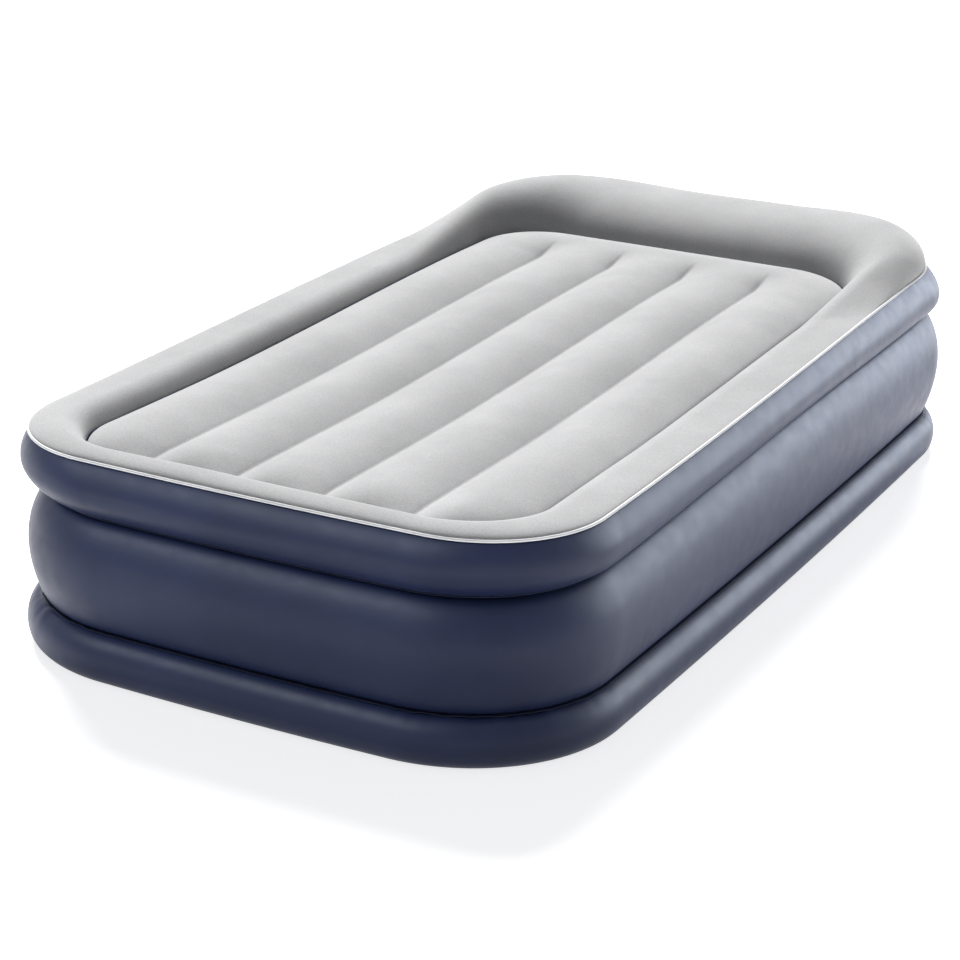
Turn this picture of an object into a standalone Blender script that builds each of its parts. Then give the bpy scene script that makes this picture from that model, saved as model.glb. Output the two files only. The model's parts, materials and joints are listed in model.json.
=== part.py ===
"""A raised single air bed with a pillow end, a built-in electric pump and a capped hand valve.

Metres, +Z up. The bed lies along Y with its pillow end at +Y. The origin is on the floor, at the middle of
its box. Each wall, sheet and seam of the bag is its own piece; the pump and the hand valve are let into the
head end.
"""

from math import cos, pi, radians, sin, sqrt

import bmesh
import bpy
from mathutils import Vector

# Overall size of the inflated bed
WIDTH = 0.990
LENGTH = 1.910
SIDE_BOW = 0.006  # how far the long sides swell out at their middle
END_BOW = 0.004
SKIN = 0.0012  # vinyl with its flocking and welds
GAP = 0.0003  # left between pieces that touch

# Corner radii at the seams, at the foot and at the head
BASE_CORNERS = (0.256, 0.256)
WAIST_CORNERS = (0.250, 0.250)
PIPING_CORNERS = (0.215, 0.330)

# How far each seam lies inside the widest outline, and its height
BASE_SEAM_INSET = 0.030
BASE_SEAM_Z = 0.075
WAIST_INSET = 0.045
PIPING_INSET = 0.028
MIDDLE_BULGE_INSET = 0.006
UPPER_BULGE_INSET = 0.007
MIDDLE_FULLNESS = 0.6  # the lower, the squarer the tier's section
UPPER_FULLNESS = 0.7

# The border: where its crest lies between the piping and the sleeping surface, and the piping's clearance
CREST_SHARE_SIDE = 0.58
CREST_SHARE_FALL = 0.18  # less at the head
BORDER_LIFT = 0.0012
SHEET_INSET = 0.022
WELD = 0.002  # thickness of a welded lip
PIPING = 0.004  # thickness of the bead between vinyl and flock

# The sleeping surface: where its outline runs and how its channels swell
SURFACE_HALF_WIDTH = 0.370
SURFACE_FOOT_Y = -0.865
SURFACE_HEAD_Y = 0.620
SURFACE_FOOT_CORNER = 0.120
SURFACE_HEAD_CORNER = 0.140
SURFACE_WELD = 0.003  # width of the weld round it
GROOVE_RISE = 0.008
CHANNEL_RISE = 0.028
CHANNEL_PITCH = 0.1440
CHANNELS = 5
EDGE_ROLL = 0.080  # width over which the surface rolls down to its weld

# The tie beams under the grooves
BEAM_FOOT_Y = -0.780
BEAM_HEAD_Y = 0.520
BEAM_STEPS = 8
MEMBRANE = 0.0008  # thickness of the inner sheets

# How finely curves are cut
CORNER_STEPS = 6
SIDE_STEPS = 6
END_STEPS = 4
WALL_STEPS = 5
TURN_STEPS = 20

# The pump, let into the head end: the middle of its face, and its collar
PUMP_X = -0.120
PUMP_Z = 0.170
PUMP_FRONT_Y = 0.950
PUMP_BACK_Y = 0.800
COLLAR_HALF_WIDTH = 0.103
COLLAR_HALF_HEIGHT = 0.073
COLLAR_WALL = 0.003
PLATE_FRONT_Y = 0.944
PLATE_BACK_Y = 0.941
SCREW_X = 0.091
SCREW_Z = 0.061

# The selector on the pump's left, the blower and the cord bay on its right
KNOB_X = PUMP_X - 0.050
KNOB_Z = PUMP_Z + 0.018
BLOWER_X = PUMP_X + 0.048
BLOWER_Z = PUMP_Z
BAY_LOW = (PUMP_X + 0.012, PUMP_Z - 0.052)
BAY_HIGH = (PUMP_X + 0.090, PUMP_Z + 0.030)
DOOR_PIN_Y = 0.9467
DOOR_PIN_Z = BAY_HIGH[1] + 0.0010
SWITCH_X = PUMP_X + 0.051
SWITCH_Z = PUMP_Z + 0.0525
ROCKER_TILT = radians(8)

# The hand valve, beside the pump
VALVE_X = 0.150
VALVE_Z = 0.170
CAP_PIN_Y = 0.9527
CAP_PIN_Z = VALVE_Z + 0.0260

NAVY = (0.045, 0.055, 0.105)
NAVY_TRIM = (0.060, 0.070, 0.125)
FLOCK_GREY = (0.560, 0.560, 0.565)
PALE_TRIM = (0.620, 0.625, 0.635)
CLEAR_GREY = (0.300, 0.310, 0.330)
PUMP_GREY = (0.110, 0.115, 0.130)
PUMP_DARK = (0.030, 0.031, 0.035)
STEEL = (0.560, 0.560, 0.560)
RUBBER = (0.025, 0.025, 0.027)


def clear_scene():
    for thing in list(bpy.data.objects):
        bpy.data.objects.remove(thing, do_unlink=True)


def finish(name, colour, roughness=0.5, metallic=0.0):
    material = bpy.data.materials.new(name)
    material.use_nodes = True
    shader = material.node_tree.nodes["Principled BSDF"]
    shader.inputs["Base Color"].default_value = (*colour, 1.0)
    shader.inputs["Roughness"].default_value = roughness
    shader.inputs["Metallic"].default_value = metallic
    return material


def object_from(name, shape, colour, roughness=0.5, metallic=0.0):
    """The bmesh as an object with its own material."""
    mesh = bpy.data.meshes.new(name)
    shape.to_mesh(mesh)
    shape.free()
    made = bpy.data.objects.new(name, mesh)
    bpy.context.scene.collection.objects.link(made)
    mesh.materials.append(finish(name + "_finish", colour, roughness, metallic))
    return made


def solidify(piece, thickness=SKIN):
    """Gives a surface its thickness, on the side its faces look away from."""
    skin = piece.modifiers.new("Skin", "SOLIDIFY")
    skin.thickness = thickness
    skin.offset = -1
    piece.data.shade_smooth()


def boolean(piece, tool, operation="DIFFERENCE"):
    """Cuts with or joins on another object, which the build then leaves out."""
    step = piece.modifiers.new(tool.name, "BOOLEAN")
    step.operation = operation
    step.solver = "EXACT"
    step.object = tool
    tool.hide_render = True
    tool.display_type = "WIRE"


def box(name, low, high, colour, bevel=0.0, **look):
    shape = bmesh.new()
    bmesh.ops.create_cube(shape, size=1.0)
    low, high = Vector(low), Vector(high)
    for vert in shape.verts:
        vert.co = Vector(
            ((vert.co[k] + 0.5) * (high[k] - low[k]) + low[k]) for k in range(3)
        )
    made = object_from(name, shape, colour, **look)
    if bevel:
        edge = made.modifiers.new("Edges", "BEVEL")
        edge.width = bevel
        edge.segments = 1
    return made


def turned(name, section, x, z, colour, steps=TURN_STEPS, **look):
    """A solid turned round an axis along Y through (x, z). section is a closed run of (radius, y)."""
    shape = bmesh.new()
    points = [shape.verts.new((radius, 0, y)) for radius, y in section]
    edges = [shape.edges.new(pair) for pair in zip(points, points[1:] + points[:1])]
    bmesh.ops.spin(
        shape,
        geom=points + edges,
        cent=(0, 0, 0),
        axis=(0, 0, 1),
        angle=2 * pi,
        steps=steps,
        use_merge=True,
    )
    bmesh.ops.remove_doubles(shape, verts=shape.verts, dist=1e-6)
    bmesh.ops.dissolve_degenerate(shape, edges=shape.edges, dist=1e-6)
    bmesh.ops.recalc_face_normals(shape, faces=shape.faces)
    for vert in shape.verts:
        vert.co = Vector((-vert.co.x, vert.co.z, vert.co.y))
    made = object_from(name, shape, colour, **look)
    made.location = (x, 0, z)
    made.data.shade_smooth()
    made.data.set_sharp_from_angle(angle=radians(35))
    return made


def disc(radius, back, front):
    """The section of a plain round solid between two depths."""
    return [(0, back), (radius, back), (radius, front), (0, front)]


def tube(inner, outer, back, front):
    return [(inner, back), (outer, back), (outer, front), (inner, front)]


def join(name, pieces):
    """One object of several that don't touch, for a Boolean to use at once."""
    shape = bmesh.new()
    for piece in pieces:
        piece.data.transform(piece.matrix_basis)
        shape.from_mesh(piece.data)
        bpy.data.objects.remove(piece, do_unlink=True)
    return object_from(name, shape, STEEL)


# Outlines and heights of the bag


def outline(half_width, foot_y, head_y, foot_corner, head_corner, side_bow=0.0, end_bow=0.0):
    """Points of a rounded oblong, anticlockwise, from the start of its head corner at +X."""
    quarters = ((1, 1), (-1, 1), (-1, -1), (1, -1))
    points = []
    for turn, (side, end) in enumerate(quarters):
        corner = head_corner if end > 0 else foot_corner
        centre = Vector(
            (
                side * (half_width - side_bow - corner),
                head_y - end_bow - corner if end > 0 else foot_y + end_bow + corner,
            )
        )
        for step in range(CORNER_STEPS + 1):
            angle = radians(90 * (turn + step / CORNER_STEPS))
            points.append(centre + corner * Vector((cos(angle), sin(angle))))
        points.append(None)  # a straight side follows each corner
    full = []
    count = len(points)
    for index, point in enumerate(points):
        if point is not None:
            full.append(point)
            continue
        start, stop = points[index - 1], points[(index + 1) % count]
        runs_across = abs(stop.x - start.x) > abs(stop.y - start.y)
        steps = END_STEPS if runs_across else SIDE_STEPS
        out = Vector((0, start.y)) if runs_across else Vector((start.x, 0))
        bow = (end_bow if runs_across else side_bow) * out.normalized()
        for step in range(1, steps):
            share = step / steps
            full.append(start.lerp(stop, share) + bow * (1 - (2 * share - 1) ** 2))
    return full


def tier_outline(inset, corners):
    """The bed's outline, some way inside its widest line. corners are the foot and head radii."""
    half_length = LENGTH / 2 - inset
    foot_corner, head_corner = corners
    return outline(
        WIDTH / 2 - inset,
        -half_length,
        half_length,
        foot_corner - inset,
        head_corner - inset,
        SIDE_BOW,
        END_BOW,
    )


def surface_outline(inset):
    return outline(
        SURFACE_HALF_WIDTH - inset,
        SURFACE_FOOT_Y + inset,
        SURFACE_HEAD_Y - inset,
        SURFACE_FOOT_CORNER - inset,
        SURFACE_HEAD_CORNER - inset,
    )


def ease(share):
    share = min(max(share, 0.0), 1.0)
    return share * share * (3 - 2 * share)


def level(height):
    return lambda y: height


def waist_z(y):
    """The waist climbs a little from the foot to the middle of the bed."""
    return 0.243 + 0.026 * ease((y + 0.95) / 1.1)


def piping_z(y):
    return 0.3355 + 0.034 * ease((y + 0.95) / 1.7)


def surface_edge_z(y):
    """The weld round the sleeping surface, which lies higher at the head."""
    return 0.312 + 0.026 * ease(y + 0.55)


def crest_z(x, y):
    """The border's top: low to half-way along, then up to the pillow, which dips between its corners."""
    rise = 0.087 * ease((y - 0.04) / 0.756)
    dip = 0.016 * ease((y - 0.6) / 0.25) * (1 - min(abs(x) / 0.33, 1.0) ** 2)
    return max(0.344 + rise - dip, piping_z(y) + 0.004)


def ring(points, height):
    return [Vector((point.x, point.y, height(point.y))) for point in points]


def between(low, high, share):
    return lambda y: low(y) + (high(y) - low(y)) * share


def shifted(height, rise):
    return lambda y: height(y) + rise


def skin_of_rings(name, rings, colour, **look):
    """A skin through closed rings of points, given from the outside bottom upwards and inwards."""
    shape = bmesh.new()
    loops = [[shape.verts.new(point) for point in points] for points in rings]
    for lower, upper in zip(loops, loops[1:]):
        for here in range(len(lower)):
            after = (here + 1) % len(lower)
            shape.faces.new((lower[here], lower[after], upper[after], upper[here]))
    made = object_from(name, shape, colour, **look)
    solidify(made)
    return made


def seam_ring(name, outer, inner, height, thickness, colour, **look):
    """A flat weld strip between two outlines, following a height."""
    shape = bmesh.new()
    half = thickness / 2
    section = (
        ring(outer, shifted(height, -half)),
        ring(outer, shifted(height, half)),
        ring(inner, shifted(height, half)),
        ring(inner, shifted(height, -half)),
    )
    loops = [[shape.verts.new(point) for point in points] for points in section]
    for here_loop, next_loop in zip(loops, loops[1:] + loops[:1]):
        for here in range(len(here_loop)):
            after = (here + 1) % len(here_loop)
            shape.faces.new(
                (here_loop[here], here_loop[after], next_loop[after], next_loop[here])
            )
    return object_from(name, shape, colour, **look)


def bulging_wall(name, foot, top, swell, power):
    """A tier's wall. foot and top are (inset, height, corners), swell is the inset of its widest line."""
    rings = []
    for step in range(WALL_STEPS + 1):
        share = step / WALL_STEPS
        rest = foot[0] + (top[0] - foot[0]) * share
        inset = rest - (rest - swell) * sin(pi * share) ** power
        corners = [low + (high - low) * share for low, high in zip(foot[2], top[2])]
        rings.append(ring(tier_outline(inset, corners), between(foot[1], top[1], share)))
    return skin_of_rings(name, rings, NAVY, roughness=0.4)


def right_edge(points):
    """The outermost points of an outline along its +X half, from foot to head."""
    widest = {}
    for point in points:
        y = round(point.y, 5)
        if point.x > 0.01 and (y not in widest or point.x > widest[y].x):
            widest[y] = point
    return [widest[y] for y in sorted(widest)]


def sheet_across(name, points, shares, height, thickness, colour, **look):
    """A sheet over an outline, in rows from one long edge to the other. height takes (x, y)."""
    shape = bmesh.new()
    rows = [
        [
            shape.verts.new((share * edge.x, edge.y, height(share * edge.x, edge.y)))
            for share in shares
        ]
        for edge in right_edge(points)
    ]
    for foot, head in zip(rows, rows[1:]):
        for left, right in zip(range(len(shares)), range(1, len(shares))):
            shape.faces.new((foot[left], foot[right], head[right], head[left]))
    made = object_from(name, shape, colour, **look)
    solidify(made, thickness)
    return made


# The bag


def base_tier():
    plate("bottom_sheet", tier_outline(SHEET_INSET + 0.0010, BASE_CORNERS), SKIN, NAVY, roughness=0.55)
    sides = (
        (SHEET_INSET, 0.0),
        (0.0075, 0.0075),
        (0.0, 0.0270),
        (0.0020, 0.0460),
        (0.0120, 0.0650),
        (BASE_SEAM_INSET, BASE_SEAM_Z - WELD / 2 - GAP),
    )
    rings = [ring(tier_outline(inset, BASE_CORNERS), level(z)) for inset, z in sides]
    skin_of_rings("base_wall", rings, NAVY, roughness=0.4)
    seam_ring(
        "base_seam",
        tier_outline(BASE_SEAM_INSET - 0.005, BASE_CORNERS),
        tier_outline(BASE_SEAM_INSET + 0.005, BASE_CORNERS),
        level(BASE_SEAM_Z),
        WELD,
        NAVY_TRIM,
    )


def plate(name, points, thickness, colour, **look):
    """A flat plate of an outline's shape, lying on the floor."""
    shape = bmesh.new()
    face = shape.faces.new([shape.verts.new((p.x, p.y, 0)) for p in points])
    raised = bmesh.ops.extrude_face_region(shape, geom=[face])
    for vert in raised["geom"]:
        if isinstance(vert, bmesh.types.BMVert):
            vert.co.z = thickness
    bmesh.ops.recalc_face_normals(shape, faces=shape.faces)
    return object_from(name, shape, colour, **look)


def middle_tier():
    wall = bulging_wall(
        "middle_wall",
        (BASE_SEAM_INSET, level(BASE_SEAM_Z + WELD / 2 + GAP), BASE_CORNERS),
        (WAIST_INSET, shifted(waist_z, -WELD / 2 - GAP), WAIST_CORNERS),
        MIDDLE_BULGE_INSET,
        MIDDLE_FULLNESS,
    )
    reach = (PUMP_BACK_Y, LENGTH / 2 + 0.05)
    pump_hole = box(
        "pump_hole",
        (PUMP_X - COLLAR_HALF_WIDTH - GAP, reach[0], PUMP_Z - COLLAR_HALF_HEIGHT - GAP),
        (PUMP_X + COLLAR_HALF_WIDTH + GAP, reach[1], PUMP_Z + COLLAR_HALF_HEIGHT + GAP),
        STEEL,
    )
    valve_hole = turned("valve_hole", disc(0.0219, *reach), VALVE_X, VALVE_Z, STEEL)
    boolean(wall, pump_hole)
    boolean(wall, valve_hole)
    seam_ring(
        "waist_seam",
        tier_outline(WAIST_INSET - 0.002, WAIST_CORNERS),
        tier_outline(WAIST_INSET + 0.006, WAIST_CORNERS),
        waist_z,
        WELD,
        NAVY_TRIM,
    )


def top_tier():
    bulging_wall(
        "upper_wall",
        (WAIST_INSET, shifted(waist_z, WELD / 2 + GAP), WAIST_CORNERS),
        (PIPING_INSET, shifted(piping_z, -PIPING / 2 - GAP), PIPING_CORNERS),
        UPPER_BULGE_INSET,
        UPPER_FULLNESS,
    )
    seam_ring(
        "edge_piping",
        tier_outline(PIPING_INSET - 0.0025, PIPING_CORNERS),
        tier_outline(PIPING_INSET + 0.0025, PIPING_CORNERS),
        piping_z,
        PIPING,
        PALE_TRIM,
    )
    border()
    seam_ring(
        "surface_weld",
        surface_outline(0.0),
        surface_outline(SURFACE_WELD),
        shifted(surface_edge_z, -WELD / 2),
        WELD,
        PALE_TRIM,
    )
    sleeping_surface()


def border():
    """The flocked border swells from the piping to its crest, then rolls down to the sleeping surface."""
    outer = tier_outline(PIPING_INSET, PIPING_CORNERS)
    inner = surface_outline(-GAP)
    turns = [(0, angle) for angle in (0, 30, 60)] + [(1, angle) for angle in (0, 25, 50, 70, 90)]
    rings = []
    for inward, angle in turns:
        points = []
        for start, stop in zip(outer, inner):
            crest_at = CREST_SHARE_SIDE - CREST_SHARE_FALL * ease((start.y - 0.3) / 0.5)
            middle = start.lerp(stop, crest_at)
            crest = crest_z(middle.x, middle.y)
            if inward:
                share = crest_at + (1 - crest_at) * sin(radians(angle))
                z = crest - (crest - surface_edge_z(stop.y)) * (1 - cos(radians(angle)))
            else:
                low = piping_z(start.y) + PIPING / 2 + BORDER_LIFT
                share = crest_at * (1 - cos(radians(angle)))
                z = low + (max(crest, low + 0.001) - low) * sin(radians(angle))
            place = start.lerp(stop, share)
            points.append(Vector((place.x, place.y, z)))
        rings.append(points)
    skin_of_rings("top_border", rings, FLOCK_GREY, roughness=0.95)


def channel_z(x, y):
    """The top of the sleeping surface: five channels that roll down to the weld all round."""
    half = SURFACE_HALF_WIDTH
    inside = min(half - abs(x), SURFACE_HEAD_Y - y, y - SURFACE_FOOT_Y) - SURFACE_WELD
    roll = sqrt(1 - (1 - min(max(inside, 0.0) / EDGE_ROLL, 1.0)) ** 2)
    across = abs(x) / CHANNEL_PITCH + 0.5
    crown = abs(sin(pi * across)) if across < CHANNELS / 2 else 1.0
    return surface_edge_z(y) + roll * (GROOVE_RISE + (CHANNEL_RISE - GROOVE_RISE) * sqrt(crown))


def sleeping_surface():
    inset = SURFACE_WELD + GAP
    half = SURFACE_HALF_WIDTH - inset
    lines = [-half, *(groove_x(number) for number in range(1, CHANNELS)), half]
    shares = []
    for left, right in zip(lines, lines[1:]):
        shares += [(left + (right - left) * step / 4) / half for step in range(4)]
    shares.append(1.0)
    sheet_across(
        "sleeping_surface", surface_outline(inset), shares, channel_z, SKIN, FLOCK_GREY, roughness=0.95
    )


def groove_x(number):
    return (number - CHANNELS / 2) * CHANNEL_PITCH


def inner_membranes():
    """Two perforated dividers that hold the waists in, and a tie beam under each groove."""
    edges = (-1.0, 1.0)
    low = tier_outline(BASE_SEAM_INSET + 0.006, BASE_CORNERS)
    sheet_across("lower_divider", low, edges, lambda x, y: BASE_SEAM_Z, MEMBRANE, CLEAR_GREY)
    high = tier_outline(WAIST_INSET + 0.0075, WAIST_CORNERS)
    sheet_across("upper_divider", high, edges, lambda x, y: waist_z(y), MEMBRANE, CLEAR_GREY)
    vents = []
    for x in (-0.15, 0.15):
        for y in (-0.60, 0.0, 0.60):
            hole = turned("vent", disc(0.030, -0.40, 0.0), x, 0, STEEL, steps=12)
            for vert in hole.data.vertices:
                vert.co = (vert.co.x, vert.co.z + y, -vert.co.y)
            vents.append(hole)
    vent_tool = join("vent_holes", vents)
    for name in ("lower_divider", "upper_divider"):
        boolean(bpy.data.objects[name], vent_tool)
    for number in range(1, CHANNELS):
        tie_beam(number)


def tie_beam(number):
    """A strip from the upper divider up to a groove."""
    x = groove_x(number)
    shape = bmesh.new()
    rows = []
    for step in range(BEAM_STEPS + 1):
        y = BEAM_FOOT_Y + (BEAM_HEAD_Y - BEAM_FOOT_Y) * step / BEAM_STEPS
        low = waist_z(y) + 0.0015
        high = channel_z(x, y) - 0.0045
        rows.append([shape.verts.new((x, y, low)), shape.verts.new((x, y, high))])
    for foot, head in zip(rows, rows[1:]):
        shape.faces.new((foot[0], head[0], head[1], foot[1]))
    beam = object_from(f"tie_beam_{number}", shape, CLEAR_GREY)
    solidify(beam, MEMBRANE)


# The pump


def pump_box(name, low, high, colour, **look):
    """A box given from the middle of the pump's face: x and z from there, y in the bed's own frame."""
    return box(
        name,
        (PUMP_X + low[0], low[1], PUMP_Z + low[2]),
        (PUMP_X + high[0], high[1], PUMP_Z + high[2]),
        colour,
        **look,
    )


def pump_case():
    half_x, half_z = COLLAR_HALF_WIDTH, COLLAR_HALF_HEIGHT
    housing = pump_box(
        "pump_housing",
        (-half_x, PUMP_BACK_Y, -half_z),
        (half_x, PUMP_FRONT_Y, half_z),
        PUMP_GREY,
    )
    inner_x, inner_z = half_x - COLLAR_WALL, half_z - COLLAR_WALL
    hollow = pump_box(
        "housing_hollow",
        (-inner_x, PUMP_BACK_Y + COLLAR_WALL, -inner_z),
        (inner_x, PUMP_FRONT_Y + 0.01, inner_z),
        STEEL,
    )
    boolean(housing, hollow)
    outlet = turned("outlet_hole", disc(0.018, 0.79, 0.81), KNOB_X, KNOB_Z, STEEL)
    boolean(housing, outlet)
    corners = [(sx * SCREW_X, sz * SCREW_Z) for sx in (-1, 1) for sz in (-1, 1)]
    post = disc(0.004, PUMP_BACK_Y + 0.001, PLATE_BACK_Y - GAP)
    posts = [turned("post", post, PUMP_X + x, PUMP_Z + z, STEEL, steps=10) for x, z in corners]
    boolean(housing, join("screw_posts", posts), "UNION")
    bores = [
        turned("bore", disc(0.0018, 0.926, 0.96), PUMP_X + x, PUMP_Z + z, STEEL, steps=10)
        for x, z in corners
    ]
    screw_bores = join("screw_bores", bores)
    boolean(housing, screw_bores)
    for number, (x, z) in enumerate(corners, 1):
        screw(f"face_screw_{number}", PUMP_X + x, PUMP_Z + z, PLATE_FRONT_Y + GAP, 0.0015, 0.0034, 0.014)
    faceplate(screw_bores)
    gasket = pump_box(
        "faceplate_gasket",
        (-half_x + COLLAR_WALL + GAP, PLATE_BACK_Y - GAP - 0.002, -half_z + COLLAR_WALL + GAP),
        (half_x - COLLAR_WALL - GAP, PLATE_BACK_Y - GAP, half_z - COLLAR_WALL - GAP),
        RUBBER,
    )
    inside = pump_box("gasket_hollow", (-0.0965, 0.93, -0.0666), (0.0965, 0.95, 0.0666), STEEL)
    boolean(gasket, inside)


def screw(name, x, z, under_head, shank, head, length, colour=STEEL):
    """A pan-head screw that goes in along -Y."""
    top = under_head + head * 0.6
    section = [
        (0, under_head - length),
        (shank, under_head - length + shank),
        (shank, under_head),
        (head, under_head),
        (head, top - 0.0005),
        (head - 0.0007, top),
        (0, top),
    ]
    return turned(name, section, x, z, colour, steps=10, roughness=0.35, metallic=1.0)


def faceplate(screw_bores):
    plate = pump_box(
        "pump_faceplate",
        (-0.0997, PLATE_BACK_Y, -0.0697),
        (0.0997, PLATE_FRONT_Y, 0.0697),
        PUMP_GREY,
    )
    bay = box("bay_hole", (BAY_LOW[0], 0.93, BAY_LOW[1]), (BAY_HIGH[0], 0.96, BAY_HIGH[1]), STEEL)
    grille = pump_box("grille_hole", (-0.085, 0.93, -0.058), (-0.015, 0.96, -0.034), STEEL)
    switch = box(
        "switch_hole",
        (SWITCH_X - 0.0110, 0.93, SWITCH_Z - 0.0078),
        (SWITCH_X + 0.0110, 0.96, SWITCH_Z + 0.0078),
        STEEL,
    )
    shaft = turned("shaft_hole", disc(0.0065, 0.93, 0.96), KNOB_X, KNOB_Z, STEEL)
    ears = []
    for left in (BAY_LOW[0] - 0.004, BAY_HIGH[0] - 0.0005):
        ears.append(
            box(
                "ear",
                (left, PLATE_FRONT_Y - 0.002, DOOR_PIN_Z - 0.003),
                (left + 0.0045, DOOR_PIN_Y + 0.003, DOOR_PIN_Z + 0.003),
                STEEL,
            )
        )
    boolean(plate, join("door_ears", ears), "UNION")
    bore_start, bore_stop = BAY_LOW[0] - 0.0025, BAY_HIGH[0] + 0.0025
    pin_bore = rod_along_x("pin_bore", 0.0013, bore_start, bore_stop, DOOR_PIN_Y, DOOR_PIN_Z)
    for tool in (bay, grille, switch, shaft, screw_bores, pin_bore):
        boolean(plate, tool)


def rod_along_x(name, radius, start, stop, y, z, colour=STEEL, steps=12, **look):
    rod = turned(name, disc(radius, start, stop), 0, 0, colour, steps=steps, **look)
    for vert in rod.data.vertices:
        vert.co = (vert.co.y, vert.co.x, -vert.co.z)
    rod.location = (0, y, z)
    return rod


def selector():
    """Knob, shaft and drum turn together inside the fixed manifold."""
    knob = turned(
        "selector_knob",
        [(0, 0.9446), (0.031, 0.9446), (0.031, 0.9470), (0.029, 0.9490), (0, 0.9490)],
        KNOB_X,
        KNOB_Z,
        PUMP_DARK,
    )
    grip = box(
        "knob_grip",
        (KNOB_X - 0.005, 0.9480, KNOB_Z - 0.026),
        (KNOB_X + 0.005, 0.9545, KNOB_Z + 0.026),
        STEEL,
        bevel=0.0015,
    )
    boolean(knob, grip, "UNION")
    turned("selector_shaft", disc(0.006, 0.9262, 0.9443), KNOB_X, KNOB_Z, PUMP_DARK)
    drum = turned(
        "selector_drum",
        [(0, 0.9236), (0.026, 0.9236), (0.026, 0.8560), (0.028, 0.8560), (0.028, 0.9259), (0, 0.9259)],
        KNOB_X,
        KNOB_Z,
        PUMP_DARK,
    )
    window = box(
        "drum_window",
        (KNOB_X + 0.010, 0.8600, KNOB_Z - 0.011),
        (KNOB_X + 0.040, 0.8740, KNOB_Z + 0.011),
        STEEL,
    )
    boolean(drum, window)
    manifold = turned(
        "selector_manifold",
        tube(0.0285, 0.0310, 0.8500, 0.9250),
        KNOB_X,
        KNOB_Z,
        PUMP_GREY,
    )
    port = box(
        "manifold_port",
        (KNOB_X + 0.010, 0.8572, KNOB_Z - 0.0148),
        (KNOB_X + 0.060, 0.8768, KNOB_Z + 0.0148),
        STEEL,
    )
    boolean(manifold, port)
    turned("outlet_tube", tube(0.0220, 0.0240, 0.8033, 0.8497), KNOB_X, KNOB_Z, PUMP_GREY)


def blower():
    """Motor, shaft and impeller behind the cord bay, blowing through a duct into the manifold."""
    x, z = BLOWER_X, BLOWER_Z
    can = turned(
        "motor",
        [(0, 0.8085), (0.016, 0.8085), (0.018, 0.8105), (0.018, 0.8487), (0, 0.8487)],
        x,
        z,
        STEEL,
        roughness=0.35,
        metallic=1.0,
    )
    bore = turned("motor_bore", disc(0.0018, 0.830, 0.86), x, z, STEEL, steps=12)
    boolean(can, bore)
    turned("motor_shaft", disc(0.0015, 0.8305, 0.8700), x, z, STEEL, steps=12, metallic=1.0)
    sides = (-1, 1)
    mount_bore = disc(0.0014, 0.8410, 0.86)
    bores = join(
        "mount_bores",
        [turned("bore", mount_bore, x + side * 0.012, z, STEEL, steps=10) for side in sides],
    )
    boolean(can, bores)
    back = turned("scroll_back", tube(0.0060, 0.0350, 0.8490, 0.8510), x, z, PUMP_GREY)
    boolean(back, bores)
    for number, side in enumerate(sides, 1):
        screw(f"motor_screw_{number}", x + side * 0.012, z, 0.8513, 0.0011, 0.0022, 0.008)
    scroll = turned(
        "scroll_case",
        [
            (0.0140, 0.8770),
            (0.0330, 0.8770),
            (0.0330, 0.8513),
            (0.0350, 0.8513),
            (0.0350, 0.8790),
            (0.0140, 0.8790),
        ],
        x,
        z,
        PUMP_GREY,
    )
    duct_low = (PUMP_X - 0.0213, 0.8575, KNOB_Z - 0.0145)
    duct_high = (PUMP_X + 0.0165, 0.8765, KNOB_Z + 0.0145)
    mouth_low = (PUMP_X, duct_low[1] - GAP, duct_low[2] - GAP)
    mouth_high = (x - 0.005, duct_high[1] + GAP, duct_high[2] + GAP)
    mouth = box("scroll_mouth", mouth_low, mouth_high, STEEL)
    boolean(scroll, mouth)
    duct = box("blower_duct", duct_low, duct_high, PUMP_GREY)
    way = box(
        "duct_way",
        (duct_low[0] - 0.01, duct_low[1] + 0.0015, duct_low[2] + 0.0015),
        (duct_high[0] + 0.01, duct_high[1] - 0.0015, duct_high[2] - 0.0015),
        STEEL,
    )
    boolean(duct, way)
    impeller = turned(
        "impeller",
        [
            (0.0018, 0.8560),
            (0.0300, 0.8560),
            (0.0300, 0.8575),
            (0.0045, 0.8575),
            (0.0045, 0.8690),
            (0.0018, 0.8690),
        ],
        x,
        z,
        PUMP_DARK,
    )
    blades = []
    for number in range(8):
        blade = box("blade", (0.0120, 0.8568, -0.0006), (0.0290, 0.8680, 0.0006), STEEL)
        blade.rotation_euler.y = 2 * pi * number / 8
        blade.location = (x, 0, z)
        bpy.context.view_layer.update()
        blades.append(blade)
    boolean(impeller, join("impeller_blades", blades), "UNION")


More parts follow.
